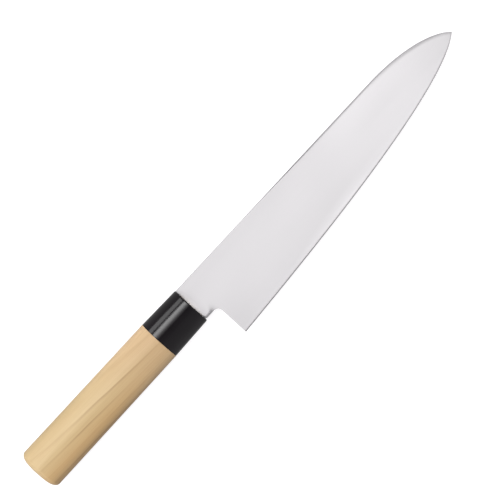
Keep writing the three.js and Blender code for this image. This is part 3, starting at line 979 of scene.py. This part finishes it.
def ho_wood(finishes):
    """Ho, a pale magnolia, sanded and left bare: matt, with fine fibres and a few thin growth lines."""
    material, tree, place = new_material("ho_wood_sanded")
    # A year's growth is about 4 mm thick, in rings round a heart that lies outside the handle, at four
    # degrees to its axis
    years_at = add(tree, "ShaderNodeMapping", IN_TEXTURE_SPACE, {
        "Vector": place,
        **grain(
            YEAR_WAVE_LENGTH,
            YEAR_THICKNESS * WAVES_IN_A_UNIT,
            HEART_LEAN,
            MOUTH + Vector(finishes.heart),
        ),
    })
    years = add(tree, "ShaderNodeTexWave", {
        "wave_type": "RINGS", "rings_direction": "X", "wave_profile": "SAW",
    }, {
        "Vector": years_at.outputs["Vector"],
        "Scale": 1.0,
        "Distortion": 1.0,
        "Detail": 2.0,
        "Detail Scale": 1.0,
        "Detail Roughness": 0.5,
    })
    year_tone = add(tree, "ShaderNodeValToRGB", {}, {"Fac": years.outputs["Fac"]})
    ramp = year_tone.color_ramp
    ramp.elements[0].color = finishes.earlywood
    ramp.elements[1].position = LINE_PEAKS
    ramp.elements[1].color = finishes.latewood
    next_year = ramp.elements.new(1.0)
    next_year.color = finishes.earlywood
    line = add(tree, "ShaderNodeValToRGB", {}, {"Fac": years.outputs["Fac"]})
    pulse = line.color_ramp
    pulse.elements[0].position = LINE_STARTS
    pulse.elements[1].position = LINE_PEAKS
    line_end = pulse.elements.new(1.0)
    line_end.color = (0.0, 0.0, 0.0, 1.0)
    # A growth line comes and goes along the handle, and is weaker towards both ends
    spots = add(tree, "ShaderNodeSeparateXYZ", {}, {"Vector": place})
    off_butt = add(tree, "ShaderNodeMapRange", {}, {
        "Value": spots.outputs["X"],
        **stretch(MOUTH.x, *LINES_RISE_FROM_BUTT),
        "To Min": 0.0,
        "To Max": line.outputs["Color"],
    })
    off_front = add(tree, "ShaderNodeMapRange", {}, {
        "Value": spots.outputs["X"],
        **stretch(MOUTH.x, *LINES_RISE_FROM_FRONT),
        "To Min": 0.0,
        "To Max": off_butt.outputs["Result"],
    })
    presence_at = add(tree, "ShaderNodeMapping", IN_TEXTURE_SPACE, {
        "Vector": place, **grain(45, 7, -4, LINES_NOISE_ORIGIN * MM),
    })
    presence = add(tree, "ShaderNodeTexNoise", {}, {
        "Vector": presence_at.outputs["Vector"], "Scale": 1.0, "Detail": 1.0, "Roughness": 0.5,
    })
    line_share = add(tree, "ShaderNodeMapRange", {}, {
        "Value": presence.outputs["Fac"],
        "From Min": 0.32,
        "From Max": 0.65,
        "To Min": 0.0,
        "To Max": off_front.outputs["Result"],
    })
    lined = add(tree, "ShaderNodeMix", MIX_COLOURS, {
        "Factor": line_share.outputs["Result"],
        FROM: year_tone.outputs["Color"],
        TO: list(finishes.growth_line),
    })
    # Fibres are hundredths of a millimetre wide; their bundles are drawn 0.5 mm wide so that they show
    fibres_at = add(tree, "ShaderNodeMapping", IN_TEXTURE_SPACE, {"Vector": place, **grain(38, 0.5, -2)})
    fibres = add(tree, "ShaderNodeTexNoise", {}, {
        "Vector": fibres_at.outputs["Vector"], "Scale": 1.0, "Detail": 3.0, "Roughness": 0.6,
    })
    streaks_at = add(tree, "ShaderNodeMapping", IN_TEXTURE_SPACE, {"Vector": place, **grain(60, 3, -4)})
    streaks = add(tree, "ShaderNodeTexNoise", {}, {
        "Vector": streaks_at.outputs["Vector"], "Scale": 1.0, "Detail": 2.0, "Roughness": 0.5,
    })
    fibre_share = add(tree, "ShaderNodeMapRange", {}, {
        "Value": fibres.outputs["Fac"],
        "From Min": 0.45,
        "From Max": 0.8,
        "To Min": 0.0,
        "To Max": 0.45,
    })
    streak_share = add(tree, "ShaderNodeMapRange", {}, {
        "Value": streaks.outputs["Fac"],
        "From Min": 0.35,
        "From Max": 0.7,
        "To Min": 0.0,
        "To Max": 0.5,
    })
    streaked = add(tree, "ShaderNodeMix", MIX_COLOURS, {
        "Factor": streak_share.outputs["Result"],
        FROM: lined.outputs[MIXED],
        TO: list(finishes.latewood),
    })
    # The top, away from the heart, is paler near the ferrule, and its growth line hardly shows there
    high_up = add(tree, "ShaderNodeMapRange", SMOOTHLY, {
        "Value": spots.outputs["Y"], **stretch(MOUTH.y, *SAP_TONE_CLIMBS),
    })
    sap_share = add(tree, "ShaderNodeMapRange", {}, {
        "Value": spots.outputs["X"],
        **stretch(MOUTH.x, *SAP_TONE_RISES),
        "To Min": 0.0,
        "To Max": high_up.outputs["Result"],
    })
    paled = add(tree, "ShaderNodeMix", MIX_COLOURS, {
        "Factor": sap_share.outputs["Result"],
        FROM: streaked.outputs[MIXED],
        TO: list(finishes.sapwood),
    })
    grained = add(tree, "ShaderNodeMix", MIX_COLOURS, {
        "Factor": fibre_share.outputs["Result"],
        FROM: paled.outputs[MIXED],
        TO: list(finishes.fibre),
    })
    # Painted shade: the lower half is made darker and warmer, except close to the ferrule
    lower_half_shade = add(tree, "ShaderNodeMapRange", SMOOTHLY, {
        "Value": spots.outputs["Y"], **stretch(MOUTH.y, *LOWER_HALF_SHADE_CLIMBS),
    })
    lower_half_shade_share = add(tree, "ShaderNodeMapRange", SMOOTHLY, {
        "Value": spots.outputs["X"],
        **stretch(MOUTH.x, *FRONT_TONE_RISES),
        "To Min": lower_half_shade.outputs["Result"],
        "To Max": 0.0,
    })
    half_shaded = add(tree, "ShaderNodeMix", TINT_COLOURS, {
        "Factor": lower_half_shade_share.outputs["Result"],
        FROM: grained.outputs[MIXED],
        TO: list(finishes.lower_half_shade_tint),
    })
    front_share = add(tree, "ShaderNodeMapRange", SMOOTHLY, {
        "Value": spots.outputs["X"], **stretch(MOUTH.x, *FRONT_TONE_RISES),
    })
    fronted = add(tree, "ShaderNodeMix", TINT_COLOURS, {
        "Factor": front_share.outputs["Result"],
        FROM: half_shaded.outputs[MIXED],
        TO: list(finishes.front_tint),
    })
    # Painted shade: the lower edge is made darker and greyer, most of all towards the butt
    low_down = add(tree, "ShaderNodeMapRange", SMOOTHLY, {
        "Value": spots.outputs["Y"], **stretch(MOUTH.y, *LOWER_EDGE_SHADE_CLIMBS),
    })
    lower_edge_shade_share = add(tree, "ShaderNodeMapRange", {}, {
        "Value": spots.outputs["X"],
        **stretch(MOUTH.x, *LOWER_EDGE_SHADE_RISES),
        "To Min": 0.0,
        "To Max": low_down.outputs["Result"],
    })
    edge_shaded = add(tree, "ShaderNodeMix", TINT_COLOURS, {
        "Factor": lower_edge_shade_share.outputs["Result"],
        FROM: fronted.outputs[MIXED],
        TO: list(finishes.lower_edge_shade_tint),
    })
    rough = add(tree, "ShaderNodeMapRange", {}, {
        "Value": fibres.outputs["Fac"], **NOISE_RANGE, "To Min": 0.5, "To Max": 0.65,
    })
    bump = add(tree, "ShaderNodeBump", {}, {
        "Strength": 0.25, "Distance": 0.03 * MM, "Height": fibres.outputs["Fac"],
    })
    shader = add(tree, "ShaderNodeBsdfPrincipled", {}, {
        "Base Color": edge_shaded.outputs[MIXED],
        "Roughness": rough.outputs["Result"],
        "IOR": 1.5,
        "Sheen Weight": 0.12,
        "Sheen Roughness": 0.4,
        "Normal": bump.outputs["Normal"],
    })
    add(tree, "ShaderNodeOutputMaterial", {}, {"Surface": shader.outputs["BSDF"]})
    return material


EPOXY_CLOUD_BRIGHTNESS = 0.75


def bedding_epoxy(finishes):
    """Cured epoxy, poured round the tang: a milky amber gloss with a slightly wavy surface."""
    material, tree, place = new_material("epoxy_poured")
    waves_at = add(tree, "ShaderNodeMapping", IN_TEXTURE_SPACE, {"Vector": place, **grain(2.5, 2.5)})
    waves = add(tree, "ShaderNodeTexNoise", {}, {
        "Vector": waves_at.outputs["Vector"], "Scale": 1.0, "Detail": 2.0, "Roughness": 0.5,
    })
    tone = add(tree, "ShaderNodeMix", MIX_COLOURS, {
        "Factor": waves.outputs["Fac"],
        FROM: list(finishes.epoxy),
        TO: darkened(finishes.epoxy, EPOXY_CLOUD_BRIGHTNESS),
    })
    rough = add(tree, "ShaderNodeMapRange", {}, {
        "Value": waves.outputs["Fac"], **NOISE_RANGE, "To Min": 0.25, "To Max": 0.4,
    })
    bump = add(tree, "ShaderNodeBump", {}, {
        "Strength": 0.4, "Distance": 0.1 * MM, "Height": waves.outputs["Fac"],
    })
    shader = add(tree, "ShaderNodeBsdfPrincipled", {}, {
        "Base Color": tone.outputs[MIXED],
        "Roughness": rough.outputs["Result"],
        "IOR": 1.55,
        "Normal": bump.outputs["Normal"],
    })
    add(tree, "ShaderNodeOutputMaterial", {}, {"Surface": shader.outputs["BSDF"]})
    return material


# Parts of the floor's colour that its surface returns, and that its tooth returns
FLOOR_RETURNS = 0.35
TOOTH_RETURNS = 0.34


def lit_acrylic(finishes, glow):
    """Opal acrylic of a light table: an even white with a fine tooth, which lifts most of the shadow."""
    material, tree, place = new_material("opal_acrylic_matt")
    tooth_at = add(tree, "ShaderNodeMapping", IN_TEXTURE_SPACE, {"Vector": place, **grain(1.5, 1.5)})
    tooth = add(tree, "ShaderNodeTexNoise", {}, {
        "Vector": tooth_at.outputs["Vector"], "Scale": 1.0, "Detail": 2.0, "Roughness": 0.5,
    })
    tone = add(tree, "ShaderNodeMix", MIX_COLOURS, {
        "Factor": tooth.outputs["Fac"],
        FROM: darkened(finishes.floor, FLOOR_RETURNS),
        TO: darkened(finishes.floor, TOOTH_RETURNS),
    })
    shader = add(tree, "ShaderNodeBsdfPrincipled", {}, {
        "Base Color": tone.outputs[MIXED],
        "Roughness": 0.9,
        "Specular IOR Level": 0.1,
        "Emission Color": list(finishes.floor),
        "Emission Strength": glow,
    })
    add(tree, "ShaderNodeOutputMaterial", {}, {"Surface": shader.outputs["BSDF"]})
    return material


# Stage

FLOOR_SIDES = 96
SENSOR_WIDTH = 36.0
# The lights' distance from the knife, and where their ends lie along it, in metres
LIGHT_DISTANCE = 3.0
LIGHT_ENDS = (-2.5, 2.0)
SIDE_ENDS = (-4.0, 0.5)
# What a light spans, in degrees from the vertical, positive on the spine's side
SIDE_STRIP = (37, 53)
FILL_PANEL = (-85, -33)
END_PANEL = (50, 80)
# The same for the parts of a graded softbox and of the blade's own panel, with each part's brightness
GRADED_SOFTBOX = ((20, 30.5, 1.0), (12.5, 20, 0.77), (6, 12.5, 0.49), (-1, 6, 0.26), (-11, -1, 0.11))
BLADE_PANEL = ((20, 62, 0.6), (-15, 20, 1.0), (-80, -40, 0.2))
# Collections that say what a light reaches
ALL_BUT_BLADE = "all_but_blade"
BLADE_ALONE = "blade_alone"


def strip_light(name, radiance, low, high, ends=LIGHT_ENDS, turn=0.0, lit=ALL_BUT_BLADE):
    """A long strip light that spans two angles from the vertical, in degrees, seen from the knife.

    It lies on the spine's side, or on the edge's where they are negative, turned about the vertical.
    """
    middle = math.radians(low + high) / 2
    wide = 2 * LIGHT_DISTANCE * math.tan(math.radians(high - low) / 2)
    long = ends[1] - ends[0]
    light = bpy.data.lights.new(name, "AREA")
    light.shape = "RECTANGLE"
    light.size = long
    light.size_y = wide
    # An area light's radiance is its power divided by four times its area
    light.energy = 4 * long * wide * radiance
    lamp = bpy.data.objects.new(name, light)
    across = LIGHT_DISTANCE * math.sin(middle)
    above = LIGHT_DISTANCE * math.cos(middle)
    lamp.location = Matrix.Rotation(turn, 3, "Z") @ Vector((sum(ends) / 2, across, above))
    lamp.rotation_euler = (-middle, 0.0, turn)
    lamp.visible_camera = False
    lamp.light_linking.receiver_collection = bpy.data.collections[lit]
    bpy.context.scene.collection.objects.link(lamp)


def lay_floor(studio, finishes):
    bm = bmesh.new()
    bmesh.ops.create_circle(bm, cap_ends=True, segments=FLOOR_SIDES, radius=studio.floor_radius)
    mesh = bpy.data.meshes.new("floor")
    bm.to_mesh(mesh)
    bm.free()
    mesh.materials.append(lit_acrylic(finishes, studio.table_glow))
    floor = bpy.data.objects.new("floor", mesh)
    # The table's glow is for the picture alone: the knife is lit by the strips and the room
    floor.visible_diffuse = False
    floor.visible_glossy = False
    bpy.context.scene.collection.objects.link(floor)


def hang_lights(studio):
    """The blade's own broad panel, and the strips for the rest.

    The strips leave the blade out, so that it doesn't burn out where it mirrors one of them.
    """
    bpy.data.collections.new(ALL_BUT_BLADE)
    bpy.data.collections.new(BLADE_ALONE)
    for number, (low, high, part) in enumerate(BLADE_PANEL):
        strip_light(f"blade_panel_{number}", studio.blade_strength * part, low, high, lit=BLADE_ALONE)
    for number, (low, high, part) in enumerate(GRADED_SOFTBOX):
        strip_light(f"key_softbox_{number}", studio.key_strength * part, low, high)
    strip_light("side_strip", studio.side_strength, *SIDE_STRIP, SIDE_ENDS)
    strip_light("fill_panel", studio.fill_strength, *FILL_PANEL)
    strip_light("end_panel", studio.end_strength, *END_PANEL, turn=math.pi / 2)


def paint_room(studio, finishes):
    """A pale room that lights the knife from its walls, and is nearly white where the camera sees it."""
    world = bpy.data.worlds.new("studio_room")
    world.use_nodes = True
    tree = world.node_tree
    tree.nodes.clear()
    path = add(tree, "ShaderNodeLightPath", {}, {})
    direction = add(tree, "ShaderNodeTexCoord", {}, {}).outputs["Generated"]
    height = add(tree, "ShaderNodeSeparateXYZ", {}, {"Vector": direction}).outputs["Z"]
    room_light = add(tree, "ShaderNodeMapRange", {}, {
        "Value": height, "To Min": studio.wall_strength, "To Max": studio.ceiling_strength,
    })
    seen = add(tree, "ShaderNodeMapRange", {}, {
        "Value": path.outputs["Is Camera Ray"],
        "To Min": room_light.outputs["Result"],
        "To Max": studio.backdrop_strength,
    })
    room = add(tree, "ShaderNodeBackground", {}, {
        "Color": list(finishes.room), "Strength": seen.outputs["Result"],
    })
    add(tree, "ShaderNodeOutputWorld", {}, {"Surface": room.outputs["Background"]})
    bpy.context.scene.world = world


def set_camera(studio):
    scene = bpy.context.scene
    camera_data = bpy.data.cameras.new("camera")
    camera_data.sensor_width = SENSOR_WIDTH
    camera_data.lens = SENSOR_WIDTH * studio.camera_height / studio.picture_width
    camera = bpy.data.objects.new("camera", camera_data)
    camera.location = MOUTH + Vector((studio.view_ahead, studio.view_aside, studio.camera_height))
    camera.rotation_euler = (0.0, 0.0, studio.camera_turn)
    scene.collection.objects.link(camera)
    scene.camera = camera
    scene.view_settings.view_transform = "Standard"


# Operators

class GYUTO_OT_stage(bpy.types.Operator):
    """Lay the floor, hang the lights and set the camera"""

    bl_idname = "gyuto.stage"
    bl_label = "Stage"

    def execute(self, context):
        studio = context.scene.gyuto_studio
        finishes = context.scene.gyuto_finishes
        lay_floor(studio, finishes)
        hang_lights(studio)
        paint_room(studio, finishes)
        set_camera(studio)
        return {"FINISHED"}


class GYUTO_OT_blade(bpy.types.Operator):
    """Grind the blade, with its neck, choil and tang"""

    bl_idname = "gyuto.blade"
    bl_label = "Blade"

    def execute(self, context):
        finishes = context.scene.gyuto_finishes
        steels = satin_steel(finishes), honed_steel(finishes), ground_steel(finishes)
        blade = build_blade(context.scene.gyuto_blade, *steels)
        for name, state in ((ALL_BUT_BLADE, "EXCLUDE"), (BLADE_ALONE, "INCLUDE")):
            lit = bpy.data.collections[name]
            lit.objects.link(blade)
            lit.collection_objects[0].light_linking.link_state = state
        return {"FINISHED"}


class GYUTO_OT_ferrule(bpy.types.Operator):
    """Shape the ferrule"""

    bl_idname = "gyuto.ferrule"
    bl_label = "Ferrule"

    def execute(self, context):
        build_ferrule(context.scene.gyuto_handle, black_resin(context.scene.gyuto_finishes))
        return {"FINISHED"}


class GYUTO_OT_handle(bpy.types.Operator):
    """Shape the wooden handle, with its tenon and the slot for the tang"""

    bl_idname = "gyuto.handle"
    bl_label = "Handle"

    def execute(self, context):
        build_handle(context.scene.gyuto_handle, ho_wood(context.scene.gyuto_finishes))
        return {"FINISHED"}


class GYUTO_OT_bedding(bpy.types.Operator):
    """Give the bedding resin round the tang its finish"""

    bl_idname = "gyuto.bedding"
    bl_label = "Bedding"

    def execute(self, context):
        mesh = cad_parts["tang_adhesive"].data
        mesh.materials.clear()
        mesh.materials.append(bedding_epoxy(context.scene.gyuto_finishes))
        return {"FINISHED"}


class GYUTO_PT_knife(bpy.types.Panel):
    """The knife's pieces and sizes"""

    bl_idname = "GYUTO_PT_knife"
    bl_label = "Gyuto knife"
    bl_space_type = "VIEW_3D"
    bl_region_type = "UI"
    bl_category = "Gyuto"

    def draw(self, context):
        for operator in OPERATORS:
            self.layout.operator(operator.bl_idname)
        for pointer, group in GROUPS.items():
            box = self.layout.box()
            box.label(text=group.__doc__)
            for name in group.__annotations__:
                box.prop(getattr(context.scene, pointer), name)


GROUPS = {
    "gyuto_blade": BladeSizes,
    "gyuto_handle": HandleSizes,
    "gyuto_finishes": KnifeFinishes,
    "gyuto_studio": StudioSizes,
}
OPERATORS = [GYUTO_OT_stage, GYUTO_OT_blade, GYUTO_OT_ferrule, GYUTO_OT_handle, GYUTO_OT_bedding]


def register():
    for group in (*GROUPS.values(), *OPERATORS, GYUTO_PT_knife):
        bpy.utils.register_class(group)
    for pointer, group in GROUPS.items():
        setattr(bpy.types.Scene, pointer, PointerProperty(type=group))


def unregister():
    for pointer in GROUPS:
        delattr(bpy.types.Scene, pointer)
    for group in (GYUTO_PT_knife, *reversed(OPERATORS), *reversed(GROUPS.values())):
        bpy.utils.unregister_class(group)


def main():
    register()
    bpy.ops.gyuto.stage()
    bpy.ops.gyuto.blade()
    bpy.ops.gyuto.ferrule()
    bpy.ops.gyuto.handle()
    bpy.ops.gyuto.bedding()


if __name__ == "__main__":
    main()
